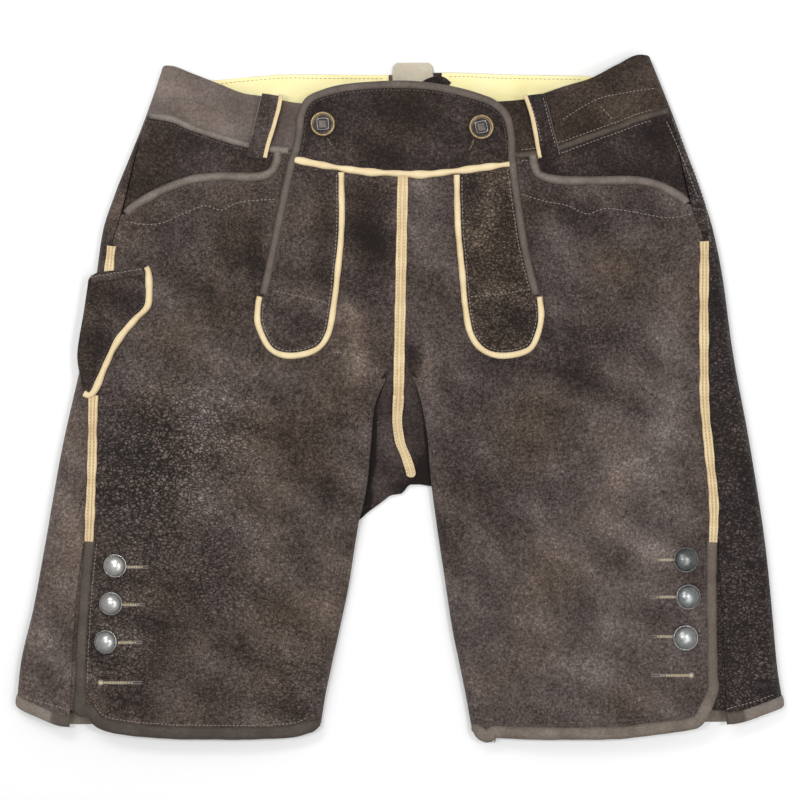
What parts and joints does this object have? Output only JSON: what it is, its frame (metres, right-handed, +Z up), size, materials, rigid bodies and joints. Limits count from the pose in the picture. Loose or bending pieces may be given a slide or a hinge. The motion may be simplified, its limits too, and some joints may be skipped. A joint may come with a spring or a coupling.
{
  "type": "short leather lederhosen with a buttoned drop front, laid flat",
  "caption": "Short leather trousers laid flat on their back: drop front flap with piped tongues, bound pockets, sheath pocket and buttoned leg vents.",
  "frame": {"origin": "bottom centre of the bounding box, on the surface that the garment lies on", "axes": "+X across the hems towards the right as seen from above, +Y towards the waist, +Z up out of the surface"},
  "size_m": [0.6357, 0.5615, 0.0306],
  "materials": {
    "suede": "dark grey-brown suede, worn and mottled",
    "binding": "grey smooth-side binding leather",
    "natural": "pale undyed leather piping, strips and facing",
    "tab": "pale grey suede",
    "pewter": "smooth grey domed buttons",
    "bronze": "aged bronze button rims"
  },
  "bodies": {
    "root": {"back_leg_left": "suede", "back_leg_right": "suede", "back_tab": "tab", "back_tie": "suede", "belt_loop_left": "suede", "belt_loop_right": "suede", "crotch_strip": "natural", "facing_back_left": "natural", "facing_back_right": "natural", "flap_band": "suede", "flap_binding": "binding", "flap_button_left": "bronze", "flap_button_right": "bronze", "flap_button_stud_left": "pewter", "flap_button_stud_right": "pewter", "flap_foot_piping": "natural", "front_leg_left": "suede", "front_leg_right": "suede", "front_strip": "natural", "gusset_left": "suede", "gusset_right": "suede", "hem_back_left": "suede", "hem_back_right": "suede", "hem_front_left": "suede", "hem_front_right": "suede", "leg_button_left_1": "pewter", "leg_button_left_2": "pewter", "leg_button_left_3": "pewter", "leg_button_right_1": "pewter", "leg_button_right_2": "pewter", "leg_button_right_3": "pewter", "loop_edge_left": "natural", "loop_edge_right": "natural", "pocket_edge_left": "binding", "pocket_edge_right": "binding", "pocket_facing_left": "suede", "pocket_facing_right": "suede", "sheath": "suede", "sheath_band": "suede", "sheath_piping": "natural", "side_strip_left": "natural", "side_strip_left_upper": "natural", "side_strip_right": "natural", "tongue_left": "suede", "tongue_piping_left": "natural", "tongue_piping_right": "natural", "tongue_right": "suede", "vent_binding_left": "suede", "vent_binding_right": "suede", "vent_stand_left": "suede", "vent_stand_right": "suede", "waist_welt_left": "binding", "waist_welt_right": "binding", "waistband_left": "suede", "waistband_right": "suede"}
  },
  "joints": []
}
